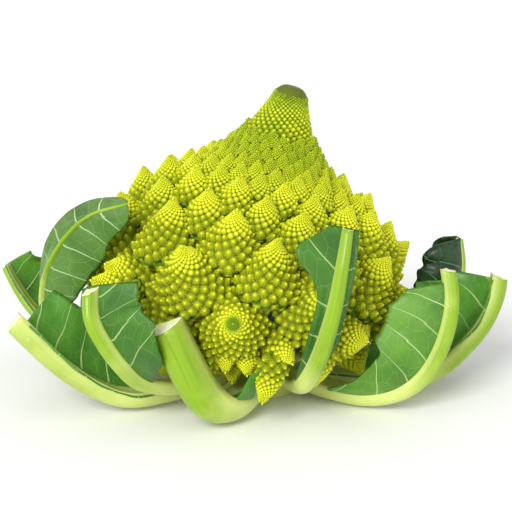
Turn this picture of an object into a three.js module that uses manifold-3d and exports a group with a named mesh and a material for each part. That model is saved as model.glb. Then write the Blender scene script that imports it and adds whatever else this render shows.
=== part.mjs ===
// Romanesco head, cut for sale, with its trimmed wrapper leaves still on the stump.
// The curd is one solid: a leaning core with florets set on a golden-angle spiral, each a knobbly cone.
// Every leaf is two solids: a thick pale rib, and the thin green blade that lies on the rib's inner face.
// Frame: origin at the middle of the stump's cut face, +Z up, +X to the viewer's right,
// -Y towards the viewer.
import * as THREE from "three";
import { mergeVertices } from "three/addons/utils/BufferGeometryUtils.js";
import Module from "manifold-3d";

const wasm = await Module();
wasm.setup();

// Driving dimensions, in millimetres and degrees.
const stump = { radius: 20, height: 26, sides: 24, edge: 1 };
const gap = 0.3; // clearance between touching solids
const head = {
  baseX: -7.1, // foot of the head's axis
  baseZ: 24,
  height: 127, // along the axis
  leanBottom: 6.1, // towards +X
  leanTop: 16.5,
  depthShare: 0.94, // front-to-back radius against side-to-side radius
};
// Half outline of the flesh under the florets, from the tip down: radius, height above the head's foot.
const headOutline = [
  [0, 127], [4.8, 126.2], [7.8, 123], [9.2, 118], [15, 104], [23, 90], [33, 79],
  [44, 67], [53, 53], [60.5, 41], [61, 27], [57, 13], [46, 3], [34, 0], [24, 3],
];
const spacing = { perDistance: 0.1, step: 17, stepAt: 70, stepOver: 14, most: 26.5 };
const florets = {
  firstAt: 12, // distance from the head's tip where the spiral starts
  startAngle: 248,
  packing: 0.866, // room each floret takes, as a share of its width squared
  solidFrom: 42, // nearer the tip the buds are a relief on the core
  lastAt: 158,
  length: 0.95, // of a floret, as a share of its width
  radius: 0.63,
  belly: -0.1, // how far its outline swells beyond a straight cone; below 0 it is hollow
  lift: 38, // of a floret's axis above the surface's normal
  hang: { drop: 52, from: 105, to: 150 }, // how far that lift drops under the head, and where
  bend: 0.07, // of its tip towards the head's tip
  chance: { lift: 10, turn: 0.16, least: 0.94, size: 0.16 },
  // How a floret is made, by its width. levels: shares of its length that have a ring of points.
  // knob: height of a bud over the floret's cone, as a share of the cone's radius.
  makes: [
    { below: 11, sides: 4, levels: [-0.25], knob: 0 },
    { below: 19, sides: 6, levels: [-0.28, 0.2, 0.6], knob: 0.1 },
    { below: 99, sides: 6, levels: [-0.28, 0.1, 0.34, 0.57, 0.78], knob: 0.12 },
  ],
};
const tipRelief = { sides: 24, from: 8, pitch: 2.6, height: 2.6 };
const core = { sides: 14, rows: 6 };
const goldenAngle = Math.PI * (3 - Math.sqrt(5));

// Leaves, anticlockwise seen from above, starting at the front right.
// path: middle of the rib from the stump outwards.
// heading: which way the leaf faces, at the stump and at the tip.
// rib: width and depth at the stump, halfway and at the cut end.
// right and left are the blade's halves, as seen looking outwards along the rib. from and to are
// shares of the rib's length, width is the half's greatest width, and fold is its angle to the
// rib's flat face, at the rib and at the half's edge.
const leaves = [
  {
    name: "leaf_front_right", // stands up against the head, its blade folded back beside the rib
    path: [
      [7, -19, 18], [14, -33, 15.5], [20, -46, 16], [23.5, -60, 22.5], [28.5, -71, 36],
      [32.5, -77, 51], [35.8, -79, 66], [38.6, -77, 83], [41, -71, 98],
    ],
    heading: [292, 292],
    rib: { width: [11, 9, 5.5], depth: [8, 7, 4] },
    right: { from: 0.36, to: 1, width: 5.5, fold: [5, 12], wave: 0.6, flare: 14 },
    left: { from: 0.36, to: 1, width: 4, fold: [5, 10], wave: 0.3 },
  },
  {
    name: "leaf_right_front",
    path: [
      [16, -11, 9], [33, -23, 6.5], [51, -32, 5.5], [66, -38, 9.5], [77.5, -40.5, 18],
      [85, -42, 31], [89.5, -42, 46], [90.5, -40, 59], [88.8, -37, 70.5],
    ],
    heading: [328, 332],
    rib: { width: [12, 8.5, 6.5], depth: [8, 8, 6] },
    right: { from: 0.15, to: 0.93, width: 27, fold: [30, 75], wave: 1.2 },
    left: { from: 0.3, to: 0.9, width: 12, fold: [40, 80], wave: 0.8 },
  },
  {
    name: "leaf_right",
    path: [
      [21, 0, 9], [40, -5, 7], [60, -9, 6], [77, -10, 7], [91, -9, 14.5], [103, -7, 26],
      [110, -5, 35], [115, -2.5, 46], [117, -0.5, 57],
    ],
    heading: [357, 357],
    rib: { width: [13, 12, 12], depth: [8, 9, 8] },
    right: { from: 0.5, to: 0.96, width: 2, fold: [30, 40], wave: 0.3 },
    left: { from: 0.1, to: 0.97, width: 36, fold: [25, 90], wave: 1.5 },
  },
  {
    name: "leaf_back_right",
    path: [
      [17, 12, 19], [38, 20, 13], [60, 25, 9], [80, 30, 12], [95, 34, 28],
      [102, 36, 48], [101, 36, 66],
    ],
    heading: [18, 18],
    rib: { width: [11, 8, 4], depth: [7, 6, 3] },
    right: { from: 0.5, to: 1, width: 25, fold: [45, 140], wave: 1 },
    left: { from: 0.4, to: 1, width: 16, fold: [20, 60], wave: 1.4 },
  },
  {
    name: "leaf_back_1",
    path: [[10, 18, 9], [20, 36, 7], [34, 56, 5], [48, 74, 10], [58, 86, 26], [62, 92, 46]],
    heading: [56, 56],
    rib: { width: [13, 11, 9], depth: [8, 8, 7] },
    right: { from: 0.3, to: 0.95, width: 22, fold: [25, 80], wave: 1.5 },
    left: { from: 0.3, to: 0.93, width: 20, fold: [25, 80], wave: 1.2 },
  },
  {
    name: "leaf_back_2",
    path: [[1, 21, 19], [3, 38, 14], [5, 58, 8], [7, 77, 9], [8, 90, 22], [8, 96, 42], [7, 94, 60]],
    heading: [88, 88],
    rib: { width: [12, 10, 7], depth: [8, 7, 6] },
    right: { from: 0.35, to: 0.96, width: 24, fold: [20, 75], wave: 1.5 },
    left: { from: 0.3, to: 0.95, width: 26, fold: [20, 85], wave: 1.8 },
  },
  {
    name: "leaf_back_3",
    path: [[-9, 18, 9], [-18, 37, 7], [-28, 57, 5], [-38, 73, 9], [-46, 85, 22], [-50, 90, 38]],
    heading: [117, 117],
    rib: { width: [13, 11, 10], depth: [8, 8, 8] },
    right: { from: 0.35, to: 0.9, width: 16, fold: [25, 70], wave: 1 },
    left: { from: 0.3, to: 0.94, width: 20, fold: [25, 80], wave: 1.5 },
  },
  {
    name: "leaf_back_4",
    path: [
      [-16, 13, 19], [-32, 26, 14], [-50, 40, 8], [-68, 52, 10], [-80, 60, 24],
      [-85, 64, 40], [-84, 62, 54],
    ],
    heading: [141, 141],
    rib: { width: [11, 8, 6], depth: [7, 6, 5] },
    right: { from: 0.35, to: 0.97, width: 18, fold: [20, 70], wave: 1.2 },
    left: { from: 0.35, to: 0.97, width: 16, fold: [20, 70], wave: 1.2 },
  },
  {
    name: "leaf_left_back",
    path: [
      [-20, 5, 9], [-40, 14, 7], [-61, 19, 7], [-84, 22, 13.5], [-101, 22.5, 23],
      [-112, 23.5, 34.5], [-118.5, 24.5, 44.5], [-123.5, 25.5, 54.5],
    ],
    heading: [169, 169],
    rib: { width: [12, 8, 4.5], depth: [7, 6, 4] },
    right: { from: 0.4, to: 1, width: 22, fold: [15, 65], wave: 1 },
    left: { from: 0.5, to: 1, width: 2, fold: [20, 30], wave: 0.3 },
  },
  {
    name: "leaf_left_tall", // its tip leans over the head's shoulder, with the outer face to the front
    path: [
      [-20, -5, 19], [-41, -5, 13], [-64, -3, 9], [-85, -1, 12], [-97, -3, 26],
      [-102, -7, 42], [-100.5, -13, 58], [-94.5, -21, 72.5], [-86, -29, 85.5],
      [-75, -36, 95.5], [-58, -45, 102.5],
    ],
    heading: [190, 238],
    rib: { width: [9, 3.4, 1.6], depth: [6.5, 3.2, 1.5] },
    right: { from: 0.38, to: 1, width: 6.5, fold: [8, 15], wave: 0.6, roundFrom: 0.8 },
    left: { from: 0.33, to: 1, width: 18, fold: [8, 25], wave: 1.2, roundFrom: 0.72 },
  },
  {
    name: "leaf_left_low",
    path: [
      [-17, -11, 9], [-33, -24, 7.5], [-52, -35, 6.5], [-64, -39, 8], [-75, -42, 13.3],
      [-85, -44, 20.3], [-94, -45, 28.3], [-102, -45.5, 36.5], [-112, -46, 47.5],
    ],
    heading: [203, 203],
    rib: { width: [13, 12, 13], depth: [8, 9, 10] },
    right: { from: 0.22, to: 0.95, width: 31.5, fold: [45, 80], wave: 1.2 },
    left: { from: 0.5, to: 0.95, width: 2, fold: [20, 30], wave: 0.3 },
  },
  {
    name: "leaf_left_front",
    path: [
      [-11, -18, 19], [-24, -33, 15.5], [-38, -47, 15.5], [-53, -60, 22],
      [-62.5, -68, 34], [-70, -70, 46], [-74.5, -68, 56], [-75, -62, 69],
    ],
    heading: [226, 226],
    rib: { width: [10, 7.5, 7.5], depth: [7, 7, 6.5] },
    right: { from: 0.4, to: 0.9, width: 2, fold: [20, 30], wave: 0.3 },
    left: { from: 0.4, to: 0.96, width: 25.5, fold: [14, 25], wave: 0.8 },
  },
  {
    name: "leaf_front", // thick stalk, bent sharply up, with a scrap of blade at its foot
    path: [
      [-1, -21, 9], [-4, -38, 8], [-11, -53, 7.5], [-20, -63, 11], [-27, -68, 20],
      [-34, -71, 35], [-42, -72, 53],
    ],
    heading: [255, 255],
    rib: { width: [14, 18, 17], depth: [9, 13, 12] },
    right: { from: 0.3, to: 0.34, width: 1, fold: [10, 20], wave: 0 },
    left: { from: 0.12, to: 0.42, width: 20, fold: [50, 60], wave: 0.8 },
  },
];
const blade = {
  thickness: 0.9,
  lift: 0.6, // over the rib's flat face
  strip: 0.46, // half width of the flat strip on the rib, as a share of the rib's width
  columns: 3,
  ripples: 3,
  phase: 1.7, // between the ripples of one leaf and the next
  lobes: [[0.07, 9], [0.04, 21]], // height and pace of the waves in its outline
  flare: { at: 0.84, over: 0.11 },
  taperFrom: 0.7,
  blunt: 0.75, // width at the end, as a share, of a blade without a rounded tip
  least: 0.8,
};
const ribSides = { steps: 10, arc: 6, roundness: 0.8 };
const ballGrid = { rows: 24, columns: 6, over: 1 };
const clearOfLeaves = 1.5; // left between a floret and any leaf
const shrinking = { tries: 10, by: 0.88, at: [0.15, 0.45, 0.75, 1] }; // of a floret that meets a leaf

const colours = {
  curd: 0xc3d41c,
  stump: 0xdfe3b0,
  rib: 0xb5d068,
  blade: 0x5b9238,
};

// A repeatable number from 0 to 1 for item n.
function draw(n, salt) {
  const x = Math.sin(n * 127.1 + salt * 311.7) * 43758.5453;
  return x - Math.floor(x);
}

// Smooth path through points of any dimension: Catmull-Rom with its ends carried straight on.
function pointOn(points, share) {
  const last = points.length - 1;
  const at = Math.min(Math.max(share, 0), 1) * last;
  const i = Math.min(Math.floor(at), last - 1);
  const t = at - i;
  return points[0].map((_, k) => {
    const b = points[i][k];
    const c = points[i + 1][k];
    const a = i > 0 ? points[i - 1][k] : 2 * b - c;
    const d = i + 2 <= last ? points[i + 2][k] : 2 * c - b;
    const u = (c - a) / 2;
    const v = (d - b) / 2;
    return (2 * b - 2 * c + u + v) * t ** 3 + (-3 * b + 3 * c - 2 * u - v) * t ** 2 + u * t + b;
  });
}

// A quantity given at the start, the middle and the end of a rib.
function along([start, middle, end], share) {
  return share < 0.5
    ? start + (middle - start) * share * 2
    : middle + (end - middle) * (share - 0.5) * 2;
}

function smooth(from, to, x) {
  const t = Math.min(Math.max((x - from) / (to - from), 0), 1);
  return t * t * (3 - 2 * t);
}

function solidOf(geometry) {
  const bare = new THREE.BufferGeometry();
  bare.setAttribute("position", geometry.getAttribute("position"));
  bare.setIndex(geometry.index);
  const merged = mergeVertices(bare, 1e-4);
  return new wasm.Manifold(
    new wasm.Mesh({
      numProp: 3,
      vertProperties: new Float32Array(merged.attributes.position.array),
      triVerts: new Uint32Array(merged.index.array),
    }),
  );
}

function solidFrom(points, faces) {
  const geometry = new THREE.BufferGeometry();
  geometry.setAttribute("position", new THREE.Float32BufferAttribute(points.flat(), 3));
  geometry.setIndex(faces.flat());
  return solidOf(geometry);
}

function geometryOf(solid) {
  const { numProp, vertProperties, triVerts } = solid.getMesh();
  const positions = [];
  for (let i = 0; i < vertProperties.length; i += numProp) {
    positions.push(vertProperties[i], vertProperties[i + 1], vertProperties[i + 2]);
  }
  const geometry = new THREE.BufferGeometry();
  geometry.setAttribute("position", new THREE.Float32BufferAttribute(positions, 3));
  geometry.setIndex(Array.from(triVerts));
  const faceted = geometry.toNonIndexed();
  faceted.computeVertexNormals();
  return faceted;
}

// Only the largest body of a solid, when a cut has left scraps.
function largestOf(solid) {
  return solid.decompose().reduce((a, b) => (b.volume() > a.volume() ? b : a));
}

// The rings of a tube as one closed skin, with a tip or a flat cap at each end.
function skinOf(rings, { startTip, endTip } = {}) {
  const sides = rings[0].length;
  const points = rings.flat();
  const faces = [];
  for (let i = 0; i + 1 < rings.length; i++) {
    for (let k = 0; k < sides; k++) {
      const a = i * sides + k;
      const b = i * sides + ((k + 1) % sides);
      const [c, d] = [b + sides, a + sides];
      if ((i + k) % 2) faces.push([a, b, c], [a, c, d]);
      else faces.push([a, b, d], [b, c, d]);
    }
  }
  const close = (first, tip, flip) => {
    if (tip) points.push(tip);
    for (let k = tip ? 0 : 1; k < (tip ? sides : sides - 1); k++) {
      const a = first + k;
      const b = first + ((k + 1) % sides);
      const c = tip ? points.length - 1 : first;
      faces.push(flip ? [c, a, b] : [c, b, a]);
    }
  };
  close(0, startTip, false);
  close((rings.length - 1) * sides, endTip, true);
  return [points, faces];
}

// The head's own surface

const axisTurn = THREE.MathUtils.degToRad(head.leanTop - head.leanBottom) / head.height;

function leanAt(h) {
  return THREE.MathUtils.degToRad(head.leanBottom) + axisTurn * h;
}

function headPoint(r, angle, h) {
  const lean = leanAt(h);
  const start = leanAt(0);
  const x = head.baseX + (Math.cos(start) - Math.cos(lean)) / axisTurn;
  const z = head.baseZ + (Math.sin(lean) - Math.sin(start)) / axisTurn;
  const across = r * Math.cos(angle);
  return new THREE.Vector3(
    x + across * Math.cos(lean),
    r * Math.sin(angle) * head.depthShare,
    z - across * Math.sin(lean),
  );
}

// Radius and height of the outline by distance from the tip.
const outlineTable = (() => {
  const steps = 40 * (headOutline.length - 1);
  const table = [{ s: 0, r: headOutline[0][0], h: headOutline[0][1] }];
  for (let i = 1; i <= steps; i++) {
    const [r, h] = pointOn(headOutline, i / steps);
    const before = table[i - 1];
    table.push({ s: before.s + Math.hypot(r - before.r, h - before.h), r, h });
  }
  return table;
})();

function outlineAt(s) {
  const i = Math.max(1, outlineTable.findIndex((row) => row.s >= s));
  const [a, b] = [outlineTable[i - 1], outlineTable[i]];
  const t = (s - a.s) / (b.s - a.s);
  return { r: a.r + (b.r - a.r) * t, h: a.h + (b.h - a.h) * t };
}

function surfaceAt(s, angle) {
  const { r, h } = outlineAt(s);
  return headPoint(r, angle, h);
}

// Where a floret stands: its place, the way it points and the way its tip bends.
function standAt(s, angle) {
  const step = 0.5;
  const point = surfaceAt(s, angle);
  const up = surfaceAt(s - step, angle).sub(surfaceAt(s + step, angle)).normalize();
  const round = surfaceAt(s, angle + 0.01).sub(surfaceAt(s, angle - 0.01)).normalize();
  const normal = new THREE.Vector3().crossVectors(round, up).normalize();
  return { point, normal, up };
}

function floretWidth(s) {
  const stepped = spacing.step / (1 + Math.exp((spacing.stepAt - s) / spacing.stepOver));
  return Math.min(spacing.most, spacing.perDistance * s + stepped);
}

// Every floret in order down the spiral.
function floretSpots() {
  const spots = [];
  const start = THREE.MathUtils.degToRad(florets.startAngle);
  let s = florets.firstAt;
  for (let n = 0; s < florets.lastAt; n++) {
    const width = floretWidth(s);
    if (s >= florets.solidFrom) spots.push({ n, s, width, angle: start + n * goldenAngle });
    s += (florets.packing * width * width) / (2 * Math.PI * outlineAt(s).r);
  }
  return spots;
}

// The leaves

function frameOn(leaf, share) {
  const at = new THREE.Vector3(...pointOn(leaf.path, share));
  const ahead = new THREE.Vector3(...pointOn(leaf.path, Math.min(share + 0.01, 1)));
  const behind = new THREE.Vector3(...pointOn(leaf.path, Math.max(share - 0.01, 0)));
  const tangent = ahead.sub(behind).normalize();
  const turned = leaf.heading[0] + (leaf.heading[1] - leaf.heading[0]) * smooth(0.3, 0.85, share);
  const heading = THREE.MathUtils.degToRad(turned);
  const right = new THREE.Vector3(Math.sin(heading), -Math.cos(heading), 0);
  right.addScaledVector(tangent, -right.dot(tangent)).normalize();
  const inner = new THREE.Vector3().crossVectors(right, tangent);
  return { at, tangent, right, inner };
}

// The same, on the straight line between two rings of the rib.
function frameBetween(leaf, share) {
  const { steps } = ribSides;
  const i = Math.min(Math.floor(share * steps), steps - 1);
  const [a, b] = [frameOn(leaf, i / steps), frameOn(leaf, (i + 1) / steps)];
  const t = share * steps - i;
  return { at: a.at.lerp(b.at, t), right: a.right.lerp(b.right, t), inner: a.inner.lerp(b.inner, t) };
}

// Share of the full width at t along a half whose end is rounded off.
function roundEnd(from, t) {
  const out = Math.max(t - from, 0) / (1 - from);
  return Math.sqrt(Math.max(1 - out ** 2, 0));
}

// Width of one half of the blade at a share of the rib's length. flare is a lobe near the tip.
function halfWidth(half, share, seed) {
  const t = (share - half.from) / (half.to - half.from);
  const grown = Math.sqrt(smooth(-0.02, 0.55, t));
  const lobe = ([high, pace], k) => high * Math.sin(pace * t + (k + 1) * seed);
  const lobes = blade.lobes.map(lobe).reduce((a, b) => a + b, 1);
  const flare = (half.flare ?? 0) * Math.exp(-(((t - blade.flare.at) / blade.flare.over) ** 2));
  const blunted = 1 - (1 - blade.blunt) * smooth(blade.taperFrom, 1, t);
  const end = half.roundFrom ? roundEnd(half.roundFrom, t) : blunted;
  return Math.max(blade.least, half.width * grown * lobes * end + flare);
}

// One point of the blade's underside, with the sheet's own normal there.
// across runs from -1, the left edge, to 1, the right edge.
function bladePoint(leaf, share, across, index) {
  const { at, right, inner } = frameBetween(leaf, share);
  const side = across < 0 ? -1 : 1;
  const half = across < 0 ? leaf.left : leaf.right;
  const strip = along(leaf.rib.width, share) * blade.strip;
  const inside = Math.min(Math.max(share, half.from), half.to);
  const reach = halfWidth(half, inside, index) * Math.abs(across);
  const turn = THREE.MathUtils.degToRad(half.fold[1] - half.fold[0]) * Math.abs(across);
  const start = THREE.MathUtils.degToRad(half.fold[0]);
  const middle = start + turn / 2;
  const chord = turn > 1e-6 ? Math.sin(turn / 2) / (turn / 2) : 1;
  const ripple = Math.sin(blade.ripples * 2 * Math.PI * share + index * blade.phase);
  const wave = half.wave * across * across * ripple;
  const fold = start + turn;
  const normal = inner
    .clone()
    .multiplyScalar(Math.cos(fold))
    .addScaledVector(right, -side * Math.sin(fold));
  const point = at
    .clone()
    .addScaledVector(inner, along(leaf.rib.depth, share) / 2 + blade.lift)
    .addScaledVector(right, side * (strip + reach * chord * Math.cos(middle)))
    .addScaledVector(inner, reach * chord * Math.sin(middle))
    .addScaledVector(normal, wave);
  return { point, normal };
}

function bladeSolid(leaf, index) {
  const from = Math.min(leaf.left.from, leaf.right.from);
  const to = Math.max(leaf.left.to, leaf.right.to);
  const shares = [from];
  for (let i = 1; i < ribSides.steps; i++) {
    const share = i / ribSides.steps;
    if (share > from + 0.03 && share < to - 0.03) shares.push(share);
  }
  shares.push(to);
  const columns = [];
  for (let k = blade.columns; k >= 1; k--) columns.push(-k / blade.columns);
  columns.push(-1e-6, 1e-6);
  for (let k = 1; k <= blade.columns; k++) columns.push(k / blade.columns);
  const rows = shares.length - 1;
  const width = columns.length;
  const under = [];
  const over = [];
  for (const share of shares) {
    for (const across of columns) {
      const { point, normal } = bladePoint(leaf, share, across, index);
      under.push(point.toArray());
      over.push(point.addScaledVector(normal, blade.thickness).toArray());
    }
  }
  const count = under.length;
  const faces = [];
  for (let i = 0; i < rows; i++) {
    for (let k = 0; k + 1 < width; k++) {
      const a = i * width + k;
      const [b, c, d] = [a + 1, a + width + 1, a + width];
      faces.push([a, c, b], [a, d, c]);
      faces.push([a + count, b + count, c + count], [a + count, c + count, d + count]);
    }
  }
  const rim = [];
  for (let k = 0; k + 1 < width; k++) rim.push(k);
  for (let i = 0; i < rows; i++) rim.push(i * width + width - 1);
  for (let k = width - 1; k > 0; k--) rim.push(rows * width + k);
  for (let i = rows; i > 0; i--) rim.push(i * width);
  rim.forEach((a, k) => {
    const b = rim[(k + 1) % rim.length];
    faces.push([a, b, b + count], [a, b + count, a + count]);
  });
  return solidFrom([...under, ...over], faces);
}

// The rib is flat on its inner face and round outside. grow widens it all round, to cut a clearance.
function ribSolid(leaf, grow = 0) {
  const rings = [];
  for (let i = 0; i <= ribSides.steps; i++) {
    const share = i / ribSides.steps;
    const { at, right, inner } = frameOn(leaf, share);
    const half = along(leaf.rib.width, share) / 2 + grow;
    const depth = along(leaf.rib.depth, share) + 2 * grow;
    const ring = [];
    for (let k = 0; k <= ribSides.arc; k++) {
      const a = (Math.PI * k) / ribSides.arc;
      ring.push(
        at
          .clone()
          .addScaledVector(right, half * Math.cos(a))
          .addScaledVector(inner, depth / 2 - depth * Math.sin(a) ** ribSides.roundness)
          .toArray(),
      );
    }
    rings.push(ring);
  }
  return solidFrom(...skinOf(rings));
}

// Balls that fill a leaf, for keeping florets clear of it.
function leafBalls(leaf, index) {
  const { rows, columns, over } = ballGrid;
  const from = Math.min(leaf.left.from, leaf.right.from);
  const to = Math.max(leaf.left.to, leaf.right.to);
  const balls = [];
  for (let i = 0; i <= rows; i++) {
    const share = i / rows;
    const { at } = frameOn(leaf, share);
    balls.push({ at, radius: along(leaf.rib.depth, share) / 2 + over });
    if (share < from || share > to) continue;
    for (let k = -columns; k <= columns; k++) {
      const across = k / columns || 1e-6;
      balls.push({ at: bladePoint(leaf, share, across, index).point, radius: blade.thickness });
    }
  }
  return balls;
}

// The curd

// A floret's own frame: its foot, its axis and the way its tip bends.
function placeFloret(spot) {
  const { point, normal, up } = standAt(spot.s, spot.angle);
  const { chance, hang } = florets;
  const dropped = florets.lift - hang.drop * smooth(hang.from, hang.to, spot.s);
  const lift = THREE.MathUtils.degToRad(dropped + chance.lift * (draw(spot.n, 1) - 0.5));
  const axis = normal.clone().multiplyScalar(Math.cos(lift)).addScaledVector(up, Math.sin(lift));
  const side = new THREE.Vector3().crossVectors(axis, up).normalize();
  axis.addScaledVector(side, chance.turn * (draw(spot.n, 2) - 0.5)).normalize();
  const bend = new THREE.Vector3().crossVectors(side, axis).normalize();
  const size = spot.width * (chance.least + chance.size * draw(spot.n, 3));
  return { ...spot, point, axis, side, bend, size };
}

// Middle of the floret's cone at share t of its length, and the cone's radius there.
function coneAt(floret, t) {
  const length = florets.length * floret.size;
  const at = floret.point
    .clone()
    .addScaledVector(floret.axis, length * t)
    .addScaledVector(floret.bend, florets.bend * length * Math.max(t, 0) ** 2);
  const taper = t <= 0 ? 1 : (1 - t) * (1 + florets.belly * t);
  return { at, radius: florets.radius * floret.size * taper };
}

// Shrinks a floret until it is clear of the leaves. Returns null where it would have to go.
function fitFloret(spot, balls) {
  const floret = placeFloret(spot);
  for (let tries = 0; tries < shrinking.tries; tries++) {
    const crosses = shrinking.at.some((t) => {
      const { at, radius } = coneAt(floret, t);
      return balls.some((ball) => ball.at.distanceTo(at) < ball.radius + radius + clearOfLeaves);
    });
    if (!crosses) return floret;
    floret.size *= shrinking.by;
  }
  return null;
}

function floretSolid(floret) {
  const { sides, levels, knob } = florets.makes.find((make) => floret.size < make.below);
  const rings = levels.map((t, j) => {
    const { at, radius } = coneAt(floret, t);
    const ring = [];
    for (let k = 0; k < sides; k++) {
      const a = (2 * Math.PI * k) / sides + floret.n;
      const out = j > 0 ? radius * (1 + knob * ((k + j) % 2 ? -1 : 1)) : radius;
      ring.push(
        at
          .clone()
          .addScaledVector(floret.bend, out * Math.cos(a))
          .addScaledVector(floret.side, out * Math.sin(a))
          .toArray(),
      );
    }
    return ring;
  });
  const foot = coneAt(floret, levels[0]).at.toArray();
  const tip = coneAt(floret, 1).at.toArray();
  return solidFrom(...skinOf(rings, { startTip: foot, endTip: tip }));
}

// A ring of the head's core at distance s from its tip, every second point raised where the core shows.
function coreRing(s, sides, row, knob) {
  const { r, h } = outlineAt(s);
  const ring = [];
  for (let k = 0; k < sides; k++) {
    const out = (k + row) % 2 ? r : r + knob;
    ring.push(headPoint(out, (2 * Math.PI * k) / sides, h).toArray());
  }
  return ring;
}

// The head's tip, whose buds are a relief.
function tipSolid() {
  const { sides, from, pitch, height } = tipRelief;
  const rings = [coreRing(from * 0.4, sides, 0, 0), coreRing(from * 0.75, sides, 0, 0)];
  for (let row = 0; from + row * pitch < florets.solidFrom; row++) {
    const s = from + row * pitch;
    rings.push(coreRing(s, sides, row, height * smooth(0, florets.solidFrom, s)));
  }
  rings.push(coreRing(florets.solidFrom + 1.5 * pitch, sides, 0, 0));
  const tip = headPoint(0, 0, head.height).toArray();
  return solidFrom(...skinOf(rings.reverse(), { endTip: tip }));
}

// The core under the florets.
function coreSolid() {
  const { sides, rows } = core;
  const rings = [];
  for (let i = 0; i <= rows; i++) {
    const s = florets.solidFrom + ((florets.lastAt - florets.solidFrom) * i) / rows;
    rings.push(coreRing(s, sides, 0, 0));
  }
  return solidFrom(...skinOf(rings.reverse()));
}

function turned(outline) {
  const points = outline.map(([x, y]) => new THREE.Vector2(x, y));
  return solidOf(new THREE.LatheGeometry(points, stump.sides).rotateX(Math.PI / 2));
}

function stumpSolid() {
  const { radius, height, edge } = stump;
  const top = height - gap;
  return turned([[0, 0], [radius - edge, 0], [radius, edge], [radius, top], [0, top]]);
}

function clearanceOfStump() {
  const { radius, height } = stump;
  const below = -5;
  return turned([[0, below], [radius + gap, below], [radius + gap, height], [0, height]]);
}

function curdSolid() {
  const balls = leaves.flatMap(leafBalls);
  const cones = floretSpots()
    .map((spot) => fitFloret(spot, balls))
    .filter((floret) => floret)
    .map(floretSolid);
  let curd = wasm.Manifold.union([tipSolid(), coreSolid(), ...cones]);
  curd = curd.subtract(clearanceOfStump());
  for (const leaf of leaves) curd = curd.subtract(ribSolid(leaf, gap));
  return largestOf(curd);
}

function addMesh(group, name, solid, colour, roughness) {
  const material = new THREE.MeshStandardMaterial({ color: colour, roughness, metalness: 0 });
  const mesh = new THREE.Mesh(geometryOf(solid), material);
  mesh.name = name;
  group.add(mesh);
}

const romanesco = new THREE.Group();
addMesh(romanesco, "stump", stumpSolid(), colours.stump, 0.6);
addMesh(romanesco, "curd", curdSolid(), colours.curd, 0.55);
const socket = clearanceOfStump();
leaves.forEach((leaf, index) => {
  addMesh(romanesco, `${leaf.name}_rib`, largestOf(ribSolid(leaf).subtract(socket)), colours.rib, 0.4);
  addMesh(romanesco, `${leaf.name}_blade`, bladeSolid(leaf, index), colours.blade, 0.45);
});

export default romanesco;
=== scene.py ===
import math

import bmesh
import bpy
from mathutils import Matrix, Vector, noise
from mathutils.kdtree import KDTree


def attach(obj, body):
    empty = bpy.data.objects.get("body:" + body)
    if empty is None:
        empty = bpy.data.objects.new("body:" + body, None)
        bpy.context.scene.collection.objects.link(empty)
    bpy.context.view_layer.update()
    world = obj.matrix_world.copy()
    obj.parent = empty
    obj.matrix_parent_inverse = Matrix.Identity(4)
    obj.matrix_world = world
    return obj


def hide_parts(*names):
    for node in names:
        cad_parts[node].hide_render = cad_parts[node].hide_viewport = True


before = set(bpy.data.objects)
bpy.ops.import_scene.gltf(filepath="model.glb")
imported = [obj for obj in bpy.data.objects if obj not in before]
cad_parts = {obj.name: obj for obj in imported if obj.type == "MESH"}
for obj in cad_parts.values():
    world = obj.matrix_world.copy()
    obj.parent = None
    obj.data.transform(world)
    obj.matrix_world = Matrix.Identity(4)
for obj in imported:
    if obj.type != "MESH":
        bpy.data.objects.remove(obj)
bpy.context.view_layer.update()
mm = 0.001
goldenAngle = math.pi * (3 - math.sqrt(5))
print("frame loaded:", len(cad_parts), "nodes")


# small helpers

def draw(n, salt):
    # the same number from 0 to 1 for item n on each run
    x = math.sin(n * 127.1 + salt * 311.7) * 43758.5453
    return x - math.floor(x)


def smooth(start, end, x):
    t = min(max((x - start) / (end - start), 0), 1)
    return t * t * (3 - 2 * t)


def along(values, share):
    # a size given at the start, the middle and the end of a rib
    first, middle, last = values
    if share < 0.5:
        return first + (middle - first) * share * 2
    return middle + (last - middle) * (share - 0.5) * 2


def pointOn(points, share):
    # smooth path through the points, with both ends carried straight on
    last = len(points) - 1
    place = min(max(share, 0), 1) * last
    i = min(int(place), last - 1)
    t = place - i
    b = Vector(points[i])
    c = Vector(points[i + 1])
    a = Vector(points[i - 1]) if i > 0 else 2 * b - c
    d = Vector(points[i + 2]) if i + 2 <= last else 2 * c - b
    u = (c - a) / 2
    v = (d - b) / 2
    return (2 * b - 2 * c + u + v) * t ** 3 + (3 * c - 3 * b - 2 * u - v) * t ** 2 + u * t + b


def finishPiece(bm, name, nodeName, materials):
    # millimetres to metres, then one object that rides on the part
    bmesh.ops.scale(bm, vec=(mm, mm, mm), verts=bm.verts)
    mesh = bpy.data.meshes.new(name)
    bm.to_mesh(mesh)
    bm.free()
    for polygon in mesh.polygons:
        polygon.use_smooth = True
    for material in materials:
        mesh.materials.append(material)
    piece = bpy.data.objects.new(name, mesh)
    bpy.context.scene.collection.objects.link(piece)
    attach(piece, "root")
    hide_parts(nodeName)
    return piece


def spinOutline(bm, outline, sides, weld):
    edges = [bm.edges.new((a, b)) for a, b in zip(outline, outline[1:])]
    bmesh.ops.spin(bm, geom=outline + edges, cent=(0, 0, 0), axis=(0, 0, 1), angle=2 * math.pi,
                   steps=sides, use_merge=True)
    bmesh.ops.remove_doubles(bm, verts=bm.verts, dist=weld)


# materials

def fromHex(code):
    # sRGB hex to a linear colour
    parts = [int(code[i:i + 2], 16) / 255 for i in (1, 3, 5)]
    return [p / 12.92 if p <= 0.04045 else ((p + 0.055) / 1.055) ** 2.4 for p in parts] + [1]


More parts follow.
